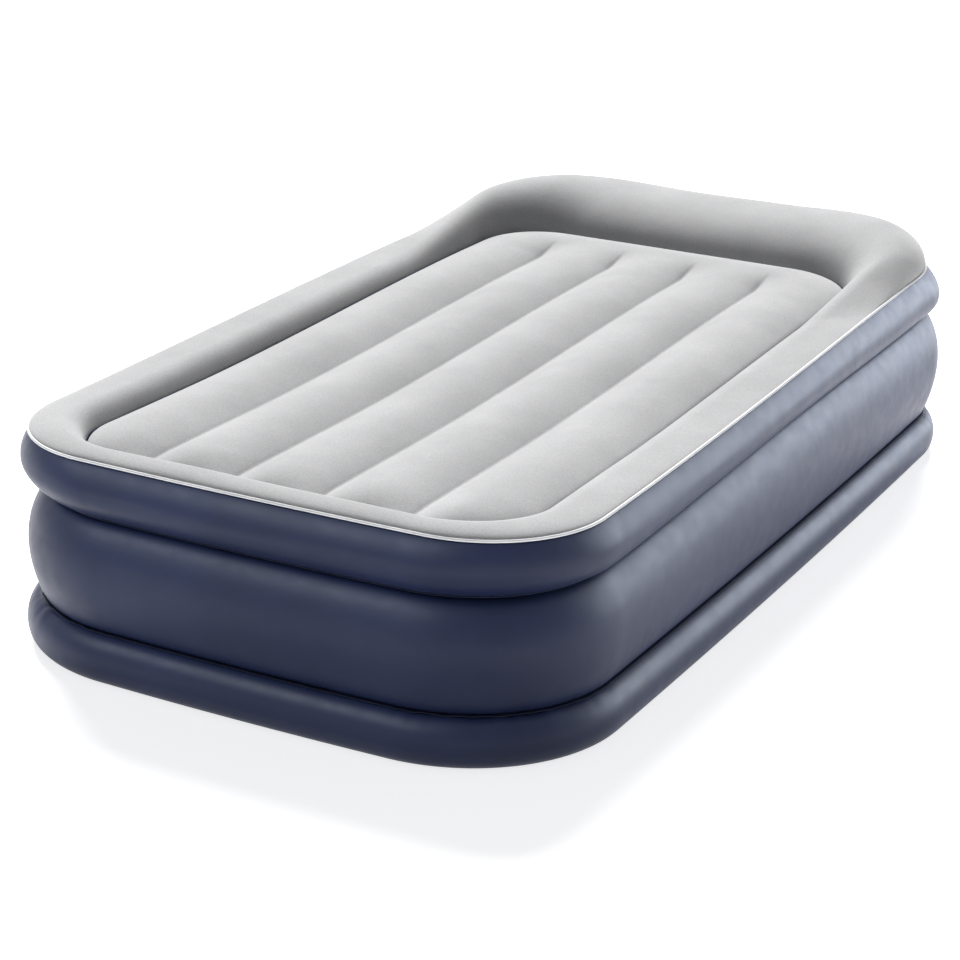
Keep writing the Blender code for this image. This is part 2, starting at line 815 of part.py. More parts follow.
def cord_bay():
    low_x, low_z = BAY_LOW
    high_x, high_z = BAY_HIGH
    wall = 0.002
    bay = box(
        "cord_bay",
        (low_x - wall, 0.8890, low_z - wall),
        (high_x + wall, PLATE_BACK_Y - GAP, high_z + wall),
        PUMP_GREY,
    )
    hollow = box("bay_hollow", (low_x, 0.8910, low_z), (high_x, 0.96, high_z), STEEL)
    boolean(bay, hollow)
    gland_x, gland_z = low_x + 0.016, low_z + 0.016
    gland_hole = turned("gland_hole", disc(0.0051, 0.88, 0.90), gland_x, gland_z, STEEL)
    boolean(bay, gland_hole)
    turned(
        "cord_gland",
        [
            (0.0034, 0.8850),
            (0.0048, 0.8850),
            (0.0048, 0.8913),
            (0.0080, 0.8913),
            (0.0070, 0.8935),
            (0.0050, 0.8980),
            (0.0034, 0.8980),
        ],
        gland_x,
        gland_z,
        RUBBER,
        roughness=0.8,
    )
    door = box(
        "cord_bay_door",
        (low_x + 0.0006, 0.9415, low_z + 0.0006),
        (high_x - 0.0006, PLATE_FRONT_Y, high_z - 0.0025),
        PUMP_DARK,
        bevel=0.0004,
    )
    knuckle = rod_along_x("door_knuckle", 0.0022, low_x + 0.0012, high_x - 0.0012, DOOR_PIN_Y, DOOR_PIN_Z)
    web = box(
        "door_web",
        (low_x + 0.0030, 0.9425, high_z - 0.0060),
        (high_x - 0.0030, DOOR_PIN_Y + 0.0003, high_z - 0.0005),
        STEEL,
    )
    boolean(door, web, "UNION")
    boolean(door, knuckle, "UNION")
    pin_way = rod_along_x("door_pin_way", 0.0011, low_x - 0.01, high_x + 0.01, DOOR_PIN_Y, DOOR_PIN_Z)
    boolean(door, pin_way)
    rod_along_x(
        "door_hinge_pin",
        0.0010,
        BAY_LOW[0] - 0.0022,
        BAY_HIGH[0] + 0.0022,
        DOOR_PIN_Y,
        DOOR_PIN_Z,
        metallic=1.0,
    )


def mains_switch():
    bezel = box(
        "switch_bezel",
        (SWITCH_X - 0.0130, PLATE_FRONT_Y + GAP, SWITCH_Z - 0.0098),
        (SWITCH_X + 0.0130, PLATE_FRONT_Y + 0.0018, SWITCH_Z + 0.0098),
        PUMP_DARK,
    )
    inside = box(
        "bezel_hollow",
        (SWITCH_X - 0.0108, 0.93, SWITCH_Z - 0.0078),
        (SWITCH_X + 0.0108, 0.96, SWITCH_Z + 0.0078),
        STEEL,
    )
    boolean(bezel, inside)
    box(
        "switch_body",
        (SWITCH_X - 0.0120, 0.9150, SWITCH_Z - 0.0095),
        (SWITCH_X + 0.0120, 0.9360, SWITCH_Z + 0.0095),
        PUMP_DARK,
    )
    shape = bmesh.new()
    half_x, half_z = 0.0100, 0.0066
    outline_yz = ((-0.0030, -half_z), (-0.0030, half_z), (0.0040, half_z), (0.0030, 0.0), (0.0040, -half_z))
    face = shape.faces.new([shape.verts.new((-half_x, y, z)) for y, z in outline_yz])
    raised = bmesh.ops.extrude_face_region(shape, geom=[face])
    for vert in raised["geom"]:
        if isinstance(vert, bmesh.types.BMVert):
            vert.co.x += 2 * half_x
    bmesh.ops.recalc_face_normals(shape, faces=shape.faces)
    rocker = object_from("switch_rocker", shape, PUMP_DARK)
    rocker.location = (SWITCH_X, PLATE_FRONT_Y - 0.0005, SWITCH_Z)
    rocker.rotation_euler.x = -ROCKER_TILT


def inlet_grille():
    grille = pump_box("inlet_grille", (-0.0847, 0.9415, -0.0577), (-0.0153, 0.9440, -0.0343), PUMP_DARK)
    slots = [
        pump_box("slot", (-0.0795 + 0.010 * k, 0.93, -0.0530), (-0.0745 + 0.010 * k, 0.96, -0.0390), STEEL)
        for k in range(6)
    ]
    boolean(grille, join("grille_slots", slots))


def check_valve():
    """The one-way valve behind the pump: air pushes the disc off its seat, the spring shuts it."""
    x, z = KNOB_X, KNOB_Z
    turned("valve_seat", tube(0.0180, 0.0260, 0.7957, PUMP_BACK_Y - GAP), x, z, RUBBER)
    turned(
        "valve_disc",
        [
            (0, 0.7640),
            (0.0020, 0.7640),
            (0.0020, 0.7910),
            (0.0220, 0.7930),
            (0.0220, 0.7954),
            (0, 0.7954),
        ],
        x,
        z,
        PUMP_DARK,
    )
    cage = turned(
        "valve_cage",
        [
            (0.0026, 0.7680),
            (0.0310, 0.7680),
            (0.0310, PUMP_BACK_Y - GAP),
            (0.0285, PUMP_BACK_Y - GAP),
            (0.0285, 0.7700),
            (0.0026, 0.7700),
        ],
        x,
        z,
        PUMP_GREY,
    )
    for number in range(3):
        slot = box(f"cage_window_{number + 1}", (-0.05, 0.7730, -0.006), (0.05, 0.7880, 0.006), STEEL)
        slot.rotation_euler.y = pi * number / 3
        slot.location = (x, 0, z)
        boolean(cage, slot)
    coil_spring("valve_spring", x, z, 0.7704, 0.7916, radius=0.0085, wire=0.0006, turns=4)


def coil_spring(name, x, z, back, front, radius, wire, turns):
    """A round wire wound along Y."""
    per_turn = 10
    curve = bpy.data.curves.new(name, "CURVE")
    curve.dimensions = "3D"
    curve.bevel_depth = wire
    curve.bevel_resolution = 0
    curve.use_fill_caps = True
    path = curve.splines.new("POLY")
    count = turns * per_turn
    path.points.add(count)
    for step, point in enumerate(path.points):
        angle = 2 * pi * step / per_turn
        y = back + wire + (front - back - 2 * wire) * step / count
        point.co = (x + radius * cos(angle), y, z + radius * sin(angle), 1)
    made = bpy.data.objects.new(name, curve)
    bpy.context.scene.collection.objects.link(made)
    curve.materials.append(finish(name + "_finish", STEEL, 0.3, 1.0))


# The hand valve


def hand_valve():
    x, z = VALVE_X, VALVE_Z
    body = turned(
        "hand_valve_body",
        [
            (0.0160, 0.9050),
            (0.0215, 0.9050),
            (0.0215, 0.9365),
            (0.0320, 0.9365),
            (0.0320, 0.9385),
            (0.0215, 0.9385),
            (0.0215, 0.9508),
            (0.0195, 0.9508),
            (0.0195, 0.9070),
            (0.0160, 0.9070),
        ],
        x,
        z,
        PUMP_GREY,
    )
    ears = []
    for left in (x - 0.0095, x + 0.0065):
        top = CAP_PIN_Z + 0.0025
        ears.append(box("ear", (left, 0.9499, z + 0.0175), (left + 0.003, 0.9545, top), STEEL))
    boolean(body, join("cap_ears", ears), "UNION")
    bore = rod_along_x("cap_pin_bore", 0.0012, x - 0.02, x + 0.02, CAP_PIN_Y, CAP_PIN_Z)
    boolean(body, bore)
    cap = turned(
        "hand_valve_cap",
        [(0, 0.9465), (0.0172, 0.9465), (0.0175, 0.9511), (0.0225, 0.9511), (0.0215, 0.9543), (0, 0.9543)],
        x,
        z,
        PUMP_GREY,
    )
    clear = box("cap_notch", (x - 0.0105, 0.94, z + 0.0170), (x + 0.0105, 0.96, z + 0.04), STEEL)
    boolean(cap, clear)
    lug = box("cap_lug", (x - 0.0058, 0.9512, z + 0.0150), (x + 0.0058, 0.9542, CAP_PIN_Z + 0.0022), STEEL)
    boolean(cap, lug, "UNION")
    way = rod_along_x("cap_pin_way", 0.0010, x - 0.02, x + 0.02, CAP_PIN_Y, CAP_PIN_Z)
    boolean(cap, way)
    rod_along_x("cap_hinge_pin", 0.0009, x - 0.0093, x + 0.0093, CAP_PIN_Y, CAP_PIN_Z, metallic=1.0)
    turned("hand_valve_flap", disc(0.0185, 0.9033, 0.9047), x, z, RUBBER, roughness=0.8)


def main():
    clear_scene()
    base_tier()
    middle_tier()
    top_tier()
    inner_membranes()
    pump_case()
    selector()
    blower()
    cord_bay()
    mains_switch()
    inlet_grille()
    check_valve()
    hand_valve()


main()
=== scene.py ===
"""The raised air bed's looks: inflated vinyl tiers, a flocked top and a moulded pump, on its frame."""

import json

from math import cos, pi, radians, sin

import bmesh
import bpy
import numpy as np
from mathutils import Matrix, Vector

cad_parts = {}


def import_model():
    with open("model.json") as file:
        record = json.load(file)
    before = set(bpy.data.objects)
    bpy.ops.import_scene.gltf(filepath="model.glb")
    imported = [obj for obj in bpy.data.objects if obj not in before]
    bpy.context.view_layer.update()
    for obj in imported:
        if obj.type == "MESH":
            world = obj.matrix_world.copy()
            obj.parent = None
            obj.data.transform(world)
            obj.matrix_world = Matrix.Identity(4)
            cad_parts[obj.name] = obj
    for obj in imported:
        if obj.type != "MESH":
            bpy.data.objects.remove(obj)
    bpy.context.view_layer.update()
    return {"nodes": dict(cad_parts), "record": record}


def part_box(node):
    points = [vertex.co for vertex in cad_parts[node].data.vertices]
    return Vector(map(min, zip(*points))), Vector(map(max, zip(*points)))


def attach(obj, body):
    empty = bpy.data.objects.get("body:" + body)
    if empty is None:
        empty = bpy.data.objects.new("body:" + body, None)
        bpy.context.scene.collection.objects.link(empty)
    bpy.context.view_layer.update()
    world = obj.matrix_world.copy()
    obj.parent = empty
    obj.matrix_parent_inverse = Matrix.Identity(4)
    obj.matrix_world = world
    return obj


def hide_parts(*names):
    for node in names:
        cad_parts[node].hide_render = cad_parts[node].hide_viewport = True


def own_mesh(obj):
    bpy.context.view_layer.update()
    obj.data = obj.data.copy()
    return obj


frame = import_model()
BODY = "mattress"

# Sizes read from the frame
BASE_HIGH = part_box("base_wall")[1]
SEAM_LOW, SEAM_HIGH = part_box("base_seam")
WELD_LOW, WELD_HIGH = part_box("surface_weld")
HOUSING_LOW, HOUSING_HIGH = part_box("pump_housing")
VALVE_LOW, VALVE_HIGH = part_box("hand_valve_body")
HALF_WIDTH = BASE_HIGH.x
HALF_LENGTH = BASE_HIGH.y
BASE_SEAM_Z = (SEAM_LOW.z + SEAM_HIGH.z) / 2

# Corner radii at the seams, at the foot and at the head, and how far the sides and ends bow out
BASE_CORNERS = (0.256, 0.256)
WAIST_CORNERS = (0.250, 0.250)
PIPING_CORNERS = (0.215, 0.330)
SURFACE_CORNERS = (0.120, 0.140)
SIDE_BOW = 0.006
END_BOW = 0.004

# How far inside the widest outline each seam lies
BASE_SEAM_INSET = 0.030
WAIST_INSET = 0.045
PIPING_INSET = 0.028

# How finely the bag is cut: steps in a corner, along a side and across an end
CORNER_STEPS = 72
SIDE_STEPS = 130
END_STEPS = 48
SKIN = 0.0010


# Mesh helpers


def piece(name, points, faces, slot):
    """A smooth mesh object that rides on the bag, in its slot's finish."""
    mesh = bpy.data.meshes.new(name)
    mesh.from_pydata([tuple(map(float, point)) for point in points], [], faces)
    mesh.materials.append(FINISHES[slot])
    mesh.shade_smooth()
    made = bpy.data.objects.new(name, mesh)
    bpy.context.scene.collection.objects.link(made)
    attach(made, BODY)
    return made


def strip_faces(rows, count, closed_rows=False):
    """Quads between closed rings of count points each; ring k's points start at k * count."""
    faces = []
    last = rows if closed_rows else rows - 1
    for row in range(last):
        low, high = row * count, (row + 1) % rows * count
        for here in range(count):
            after = (here + 1) % count
            faces.append((low + here, low + after, high + after, high + here))
    return faces


def grid_faces(rows, columns):
    """Quads of an open grid whose rows have columns + 1 points each."""
    across = columns + 1
    faces = []
    for row in range(rows):
        for column in range(columns):
            corner = row * across + column
            faces.append((corner, corner + 1, corner + across + 1, corner + across))
    return faces


def solid_skin(made, thickness=SKIN):
    skin = made.modifiers.new("Skin", "SOLIDIFY")
    skin.thickness = thickness
    skin.offset = -1


def air_tight(made, node):
    """Gives a skin that the air holds tight its thickness, and lets it stand for a CAD node."""
    solid_skin(made)
    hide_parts(node)


# The outlines and heights that the tiers share


def outline(half_width, foot_y, head_y, corners, side_bow=0.0, end_bow=0.0):
    """A rounded oblong as an array of plan points, anticlockwise from its head corner at +X."""
    foot_corner, head_corner = corners
    quarter = np.linspace(0, pi / 2, CORNER_STEPS, endpoint=False)
    parts = []
    for turn, (side, end) in enumerate(((1, 1), (-1, 1), (-1, -1), (1, -1))):
        corner = head_corner if end > 0 else foot_corner
        centre_x = side * (half_width - side_bow - corner)
        centre_y = head_y - end_bow - corner if end > 0 else foot_y + end_bow + corner
        angle = quarter + turn * pi / 2
        arc_x = centre_x + corner * np.cos(angle)
        arc_y = centre_y + corner * np.sin(angle)
        parts.append(np.column_stack([arc_x, arc_y]))
        across = turn % 2 == 0
        steps = END_STEPS if across else SIDE_STEPS
        share = np.linspace(0, 1, steps, endpoint=False)
        bow = 1 - (2 * share - 1) ** 2
        if across:
            x = centre_x - 2 * centre_x * share
            y = centre_y + end * (corner + end_bow * bow)
        else:
            stop_y = foot_y + end_bow + foot_corner if end > 0 else head_y - end_bow - head_corner
            x = centre_x + side * (corner + side_bow * bow)
            y = centre_y + (stop_y - centre_y) * share
        parts.append(np.column_stack([x, y]))
    return np.concatenate(parts)


def tier(inset, corners):
    """A tier's loop, some way inside the widest outline. Every such loop has COUNT points."""
    half_length = HALF_LENGTH - inset
    corners = [corner - inset for corner in corners]
    return outline(HALF_WIDTH - inset, -half_length, half_length, corners, SIDE_BOW, END_BOW)


COUNT = len(tier(0, BASE_CORNERS))


def panel_outline(inset):
    """The loop round the sleeping surface, some way inside its weld, also of COUNT points."""
    corners = [corner - inset for corner in SURFACE_CORNERS]
    return outline(WELD_HIGH.x - inset, WELD_LOW.y + inset, WELD_HIGH.y - inset, corners)


def ease(share):
    share = np.clip(share, 0.0, 1.0)
    return share * share * (3 - 2 * share)


def blend(first, second, share):
    return first + (second - first) * share


def climb(y, start, length, low, rise):
    """A height that eases up by rise, from low, over a length towards the head."""
    return low + rise * ease((y - start) / length)


def waist_z(y):
    return climb(y, start=-0.95, length=1.1, low=0.243, rise=0.026)


def piping_z(y):
    return climb(y, start=-0.95, length=1.7, low=0.3355, rise=0.034)


def surface_edge_z(y):
    """The weld round the sleeping surface, which lies higher at the head."""
    return climb(y, start=-0.55, length=1.0, low=0.312, rise=0.026)


# How far below the pale bead the border's crest may fall, how softly it meets that limit, and half the
# width of the dip between the pillow's corners
CREST_UNDER_BEAD = 0.002
CREST_SOFTNESS = 0.012
DIP_HALF_WIDTH = 0.33


def crest_z(x, y):
    """The border's top: low to half-way along, then up to the pillow, which dips between its corners."""
    across = 1 - np.minimum(np.abs(x) / DIP_HALF_WIDTH, 1.0) ** 2
    dip = climb(y, start=0.6, length=0.25, low=0, rise=0.016) * across
    own = climb(y, start=0.04, length=0.756, low=0.343, rise=0.087) - dip
    least = piping_z(y) - CREST_UNDER_BEAD
    return (own + least + np.sqrt((own - least) ** 2 + CREST_SOFTNESS**2)) / 2


# The length of loop over which a corner's bend spreads
BEND_REACH = 0.05


def along_loop(plan):
    """Arc length at each point of a closed loop, and its whole length."""
    step = np.linalg.norm(np.roll(plan, -1, 0) - plan, axis=1)
    return np.concatenate([[0], np.cumsum(step)[:-1]]), step.sum()


def loop_normal(plan):
    tangent = np.roll(plan, -1, 0) - np.roll(plan, 1, 0)
    tangent /= np.linalg.norm(tangent, axis=1)[:, None]
    return np.column_stack([tangent[:, 1], -tangent[:, 0]])


def loop_bend(plan):
    """How strongly the loop turns at each point, from 0 on the straights to 1 in the corners."""
    normal = loop_normal(plan)
    turn = np.linalg.norm(np.roll(normal, -1, 0) - np.roll(normal, 1, 0), axis=1)
    whole = along_loop(plan)[1]
    width = max(3, int(BEND_REACH / whole * len(plan)))
    kernel = np.hanning(2 * width + 1)
    kernel /= kernel.sum()
    spread = np.convolve(np.concatenate([turn[-width:], turn, turn[:width]]), kernel, "valid")
    return np.clip(spread / spread.max(), 0, 1)


def loop_noise(plan, wavelength, seed, octaves=3):
    """Smooth noise along a closed loop, about from -1 to 1."""
    arc, whole = along_loop(plan)
    random = np.random.default_rng(seed)
    total = np.zeros(len(plan))
    for octave in range(octaves):
        cycles = whole / wavelength * 1.7**octave
        for _ in range(4):
            number = max(1, round(cycles * random.uniform(0.6, 1.4)))
            phase = random.uniform(0, 2 * pi)
            total += np.sin(2 * pi * number * arc / whole + phase) / (1.6**octave)
    return total / np.abs(total).max()


# Materials


class Nodes:
    """A short way to build a shader's node tree."""

    def __init__(self, name):
        self.material = bpy.data.materials.new(name)
        self.material.use_nodes = True
        self.tree = self.material.node_tree
        self.shader = self.tree.nodes["Principled BSDF"]
        self.place = self.new("ShaderNodeTexCoord").outputs["Object"]

    def new(self, kind, **settings):
        node = self.tree.nodes.new(kind)
        for key, value in settings.items():
            setattr(node, key, value)
        return node

    def link(self, source, target):
        self.tree.links.new(source, target)

    def noise(self, scale, detail=4.0, roughness=0.55, stretch=None):
        node = self.new("ShaderNodeTexNoise")
        node.inputs["Scale"].default_value = scale
        node.inputs["Detail"].default_value = detail
        node.inputs["Roughness"].default_value = roughness
        place = self.place
        if stretch:
            mapping = self.new("ShaderNodeMapping")
            mapping.inputs["Scale"].default_value = stretch
            self.link(place, mapping.inputs["Vector"])
            place = mapping.outputs["Vector"]
        self.link(place, node.inputs["Vector"])
        return node.outputs["Fac"]

    def cells(self, scale):
        node = self.new("ShaderNodeTexVoronoi", feature="F1")
        node.inputs["Scale"].default_value = scale
        self.link(self.place, node.inputs["Vector"])
        return node.outputs["Distance"]

    def ramp(self, source, stops):
        node = self.new("ShaderNodeValToRGB")
        ramp = node.color_ramp
        while len(ramp.elements) < len(stops):
            ramp.elements.new(0.5)
        for element, (place, colour) in zip(ramp.elements, stops):
            element.position = place
            element.color = (*colour, 1.0)
        self.link(source, node.inputs["Fac"])
        return node.outputs["Color"]

    def spread(self, source, low, high):
        """The source, from 0.3 to 0.7, stretched to run from low to high."""
        node = self.new("ShaderNodeMapRange")
        node.inputs["From Min"].default_value = 0.3
        node.inputs["From Max"].default_value = 0.7
        node.inputs["To Min"].default_value = low
        node.inputs["To Max"].default_value = high
        self.link(source, node.inputs["Value"])
        return node.outputs["Result"]

    def multiply(self, first, second):
        node = self.new("ShaderNodeMix", data_type="RGBA", blend_type="MULTIPLY")
        node.inputs[0].default_value = 1.0
        self.link(first, node.inputs[6])
        self.link(second, node.inputs[7])
        return node.outputs[2]

    def worn(self, base, pale):
        """The base colour, rubbed paler in patches along its edges."""
        pointiness = self.new("ShaderNodeNewGeometry").outputs["Pointiness"]
        edge = self.ramp(pointiness, [(0.51, (0, 0, 0)), (0.60, (1, 1, 1))])
        patch = self.ramp(self.noise(70.0, 3.0), [(0.40, (0.1, 0.1, 0.1)), (0.62, (1, 1, 1))])
        node = self.new("ShaderNodeMix", data_type="RGBA")
        self.link(self.multiply(edge, patch), node.inputs[0])
        self.link(base, node.inputs[6])
        node.inputs[7].default_value = (*pale, 1.0)
        return node.outputs[2]

    def bump(self, heights):
        """Chains bumps: heights is a list of (source, strength, distance)."""
        normal = None
        for source, strength, distance in heights:
            node = self.new("ShaderNodeBump")
            node.inputs["Strength"].default_value = strength
            node.inputs["Distance"].default_value = distance
            self.link(source, node.inputs["Height"])
            if normal is not None:
                self.link(normal, node.inputs["Normal"])
            normal = node.outputs["Normal"]
        self.link(normal, self.shader.inputs["Normal"])

    def set(self, **values):
        for key, value in values.items():
            self.shader.inputs[key.replace("_", " ")].default_value = value


def vinyl(name, dark, light, rough=(0.40, 0.48), grain=0.05):
    """Soft satin vinyl: a faint cloudy colour, slow changes of gloss and a fine emboss."""
    n = Nodes(name)
    cloud = n.noise(9.0, 3.0)
    n.link(n.ramp(cloud, [(0.30, dark), (0.72, light)]), n.shader.inputs["Base Color"])
    n.link(n.spread(n.noise(38.0, 5.0), *rough), n.shader.inputs["Roughness"])
    n.bump([(n.cells(1400.0), grain, 0.0002)])
    n.set(Specular_IOR_Level=0.22)
    return n.material


def flock(name, dark, light):
    """Short dense flocking: speckled, softly brushed in patches, with a velvet sheen."""
    n = Nodes(name)
    brushed = n.ramp(n.noise(7.0, 4.0, 0.6), [(0.30, dark), (0.70, light)])
    speck = n.ramp(n.noise(480.0, 3.0, 0.75), [(0.32, (0.72, 0.72, 0.73)), (0.66, (1.0, 1.0, 1.0))])
    n.link(n.multiply(brushed, speck), n.shader.inputs["Base Color"])
    n.link(n.spread(n.noise(25.0, 3.0), 0.88, 0.98), n.shader.inputs["Roughness"])
    n.bump([(n.noise(1300.0, 3.0, 0.8), 0.35, 0.0006), (n.noise(90.0, 4.0, 0.6), 0.10, 0.0015)])
    n.set(Sheen_Weight=0.25, Sheen_Roughness=0.45, Specular_IOR_Level=0.15)
    return n.material


def moulded(name, dark, light, rough=(0.42, 0.58), grain=0.18):
    """Moulded plastic with a fine spark-eroded texture, rubbed a little paler on its edges."""
    n = Nodes(name)
    base = n.ramp(n.noise(30.0, 4.0), [(0.30, dark), (0.72, light)])
    pale = tuple(0.12 + 1.3 * part for part in light)
    n.link(n.worn(base, pale), n.shader.inputs["Base Color"])
    n.link(n.spread(n.noise(140.0, 4.0), *rough), n.shader.inputs["Roughness"])
    n.bump([(n.noise(2200.0, 2.0, 0.7), grain, 0.0002)])
    return n.material


def metal(name, dark, light, rough):
    """Plated metal, marked in fine bands across the bed's length."""
    n = Nodes(name)
    bands = n.noise(160.0, 5.0, 0.6, stretch=(1.0, 9.0, 1.0))
    n.link(n.ramp(bands, [(0.30, dark), (0.70, light)]), n.shader.inputs["Base Color"])
    n.link(n.spread(n.noise(220.0, 3.0), *rough), n.shader.inputs["Roughness"])
    n.bump([(bands, 0.10, 0.0002)])
    n.set(Metallic=1.0)
    return n.material


NAVY = vinyl("navy_vinyl", (0.0062, 0.0105, 0.034), (0.0090, 0.0150, 0.044))
NAVY_SEAM = vinyl("navy_seam_vinyl", (0.014, 0.018, 0.044), (0.022, 0.028, 0.062), (0.38, 0.5), 0.2)
NAVY_UNDER = vinyl("under_vinyl", (0.030, 0.036, 0.070), (0.044, 0.052, 0.096), (0.5, 0.66), 0.5)
FLOCK = flock("grey_flocking", (0.41, 0.41, 0.412), (0.48, 0.48, 0.482))
BEAD = vinyl("pale_bead_vinyl", (0.66, 0.67, 0.69), (0.78, 0.78, 0.79), (0.45, 0.6))
MEMBRANE = vinyl("inner_vinyl", (0.26, 0.27, 0.29), (0.34, 0.35, 0.37), (0.4, 0.55))
PUMP_GREY = moulded("pump_grey_plastic", (0.085, 0.090, 0.105), (0.115, 0.120, 0.138))
PUMP_DARK = moulded("pump_black_plastic", (0.018, 0.019, 0.022), (0.032, 0.033, 0.037))
RUBBER = moulded("black_rubber", (0.014, 0.014, 0.015), (0.028, 0.028, 0.030), (0.7, 0.85), 0.3)
STEEL = metal("zinc_steel", (0.42, 0.42, 0.42), (0.62, 0.62, 0.61), (0.25, 0.42))

# Each of the record's material slots and its finish
FINISHES = {
    "vinyl_navy": NAVY,
    "seam_navy": NAVY_SEAM,
    "vinyl_bottom": NAVY_UNDER,
    "flock_grey": FLOCK,
    "edge_trim": BEAD,
    "membrane": MEMBRANE,
    "pump_grey": PUMP_GREY,
    "pump_dark": PUMP_DARK,
    "rubber": RUBBER,
    "steel": STEEL,
}


# The bag's walls

# How large the creases beside a weld are on a straight, what a corner adds, and how soon it adds it
STRAIGHT_CREASE = 0.03
CORNER_CREASE = 0.80
CORNER_POWER = 1.4
# How sharp-topped the creases are, and how fast they fall off away from the weld
CREASE_POWER = 0.8
FALL_OFF_POWER = 1.3
# The slower noise that gates them: its wavelength in creases, its middle, its swing and its limits
GATE_LENGTH = 6
GATE_MIDDLE = 0.55
GATE_SWING = 0.75
GATE_LOW = 0.05
GATE_HIGH = 1.2
# How far the air leaves a wall uneven, over what length, and how steeply the creases begin at a seam
SWAY = 0.0007
SWAY_LENGTH = 0.80
CREASE_RAMP = 14
# Half the gap that the waist weld bridges, half its width and height, and how far it stands proud
WAIST_GAP = 0.0012
WAIST_WELD = (0.0022, 0.0009)
WAIST_WELD_PROUD = 0.0005
# How far below the pale bead's middle and inside its seam the top tier's skin ends, half the bead's width
# and height, and how far it stands proud
BEAD_GAP = 0.0024
BEAD_COVER = 0.0025
BEAD_SIZE = (0.0024, 0.0021)
BEAD_PROUD = 0.0015

# How full the upper two walls are: the inset where they swell most, and the power that squares them off
MIDDLE_SWELL = 0.0060
MIDDLE_FULLNESS = 0.6
TOP_SWELL = 0.0070
TOP_FULLNESS = 0.7


def puckers(plan, seed, reach, height, wavelength):
    """Creases beside a weld: the push at some distance from it, strongest where the weld bends.

    A slower noise gates them, so that some stretches are nearly smooth.
    """
    bend = STRAIGHT_CREASE + CORNER_CREASE * loop_bend(plan) ** CORNER_POWER
    wave = loop_noise(plan, wavelength, seed, octaves=2)
    sharp = np.sign(wave) * np.abs(wave) ** CREASE_POWER
    slow = loop_noise(plan, wavelength * GATE_LENGTH, seed + 1)
    gate = np.clip(GATE_MIDDLE + GATE_SWING * slow, GATE_LOW, GATE_HIGH)
    crease = sharp * bend * gate * height
    return lambda distance: crease * np.exp(-((distance / reach) ** FALL_OFF_POWER))


def bulging_wall(name, low, high, swell, fullness, steps, low_pucker, high_pucker):
    """A tier between two seams, each given as (inset, height function, corners)."""
    low_inset, low_z, low_corners = low
    high_inset, high_z, high_corners = high
    rings = []
    for step in range(steps + 1):
        share = 0.5 - 0.5 * cos(pi * step / steps)
        rest = blend(low_inset, high_inset, share)
        inset = rest - (rest - swell) * sin(pi * share) ** fullness
        plan = tier(inset, [blend(first, second, share) for first, second in zip(low_corners, high_corners)])
        floor_z, roof_z = low_z(plan[:, 1]), high_z(plan[:, 1])
        height = float(np.mean(roof_z - floor_z))
        fade = min(1.0, share * CREASE_RAMP) * min(1.0, (1 - share) * CREASE_RAMP)
        push = fade * (low_pucker(share * height) + high_pucker((1 - share) * height))
        sway = loop_noise(plan, SWAY_LENGTH, 77, 2) * SWAY * sin(pi * share)
        plan = plan + loop_normal(plan) * (push + sway)[:, None]
        rings.append(np.column_stack([plan, blend(floor_z, roof_z, share)]))
    return piece(name, np.concatenate(rings), strip_faces(len(rings), COUNT), "vinyl_navy")


def bead_ring(name, plan, z, size, slot, sides=10):
    """A bead or lip that follows a loop, with an oval section of half its width and height."""
    half_width, half_height = size
    normal = loop_normal(plan)
    rings = []
    for side in range(sides):
        angle = 2 * pi * side / sides
        ring = plan + normal * half_width * cos(angle)
        rings.append(np.column_stack([ring, z + half_height * sin(angle)]))
    faces = [face[::-1] for face in strip_faces(sides, COUNT, closed_rows=True)]
    return piece(name, np.concatenate(rings), faces, slot)


# The bottom tier's section, from the floor round to its seam, as (inset, height)
BASE_SECTION = [
    (0.0220, 0.0000),
    (0.0130, 0.0022),
    (0.0050, 0.0110),
    (0.0008, 0.0230),
    (0.0000, 0.0330),
    (0.0014, 0.0450),
    (0.0062, 0.0570),
    (0.0145, 0.0672),
    (0.0230, 0.0720),
    (BASE_SEAM_INSET, 0.0740),
]
BASE_RINGS = 30
# The creases fade out over this distance from the seam and from the floor, and they push this share of
# their height sideways
SEAM_CALM = 0.004
FLOOR_CALM = 0.02
SIDEWAYS = 0.5
# The welded lip between the bottom and middle tiers: half its width and height, its waves, and how much
# of them is left on a straight
LIP_INSET = 0.0270
LIP_SIZE = (0.0050, 0.0008)
LIP_WAVE = 0.0014
LIP_WAVE_LENGTH = 0.045
LIP_STRAIGHT = 0.12


def smooth_section(points, steps):
    """Points along a smooth curve through a section's points (Catmull-Rom), evenly spread."""
    known = np.array(points, float)
    ends = np.vstack([2 * known[0] - known[1], known, 2 * known[-1] - known[-2]])
    found = []
    for share in np.linspace(0, len(known) - 1, steps):
        k = min(int(share), len(known) - 2)
        t = share - k
        a, b, c, d = ends[k : k + 4]
        curve = (2 * b) + (c - a) * t + (2 * a - 5 * b + 4 * c - d) * t**2 + (3 * b - a - 3 * c + d) * t**3
        found.append(0.5 * curve)
    return np.array(found)


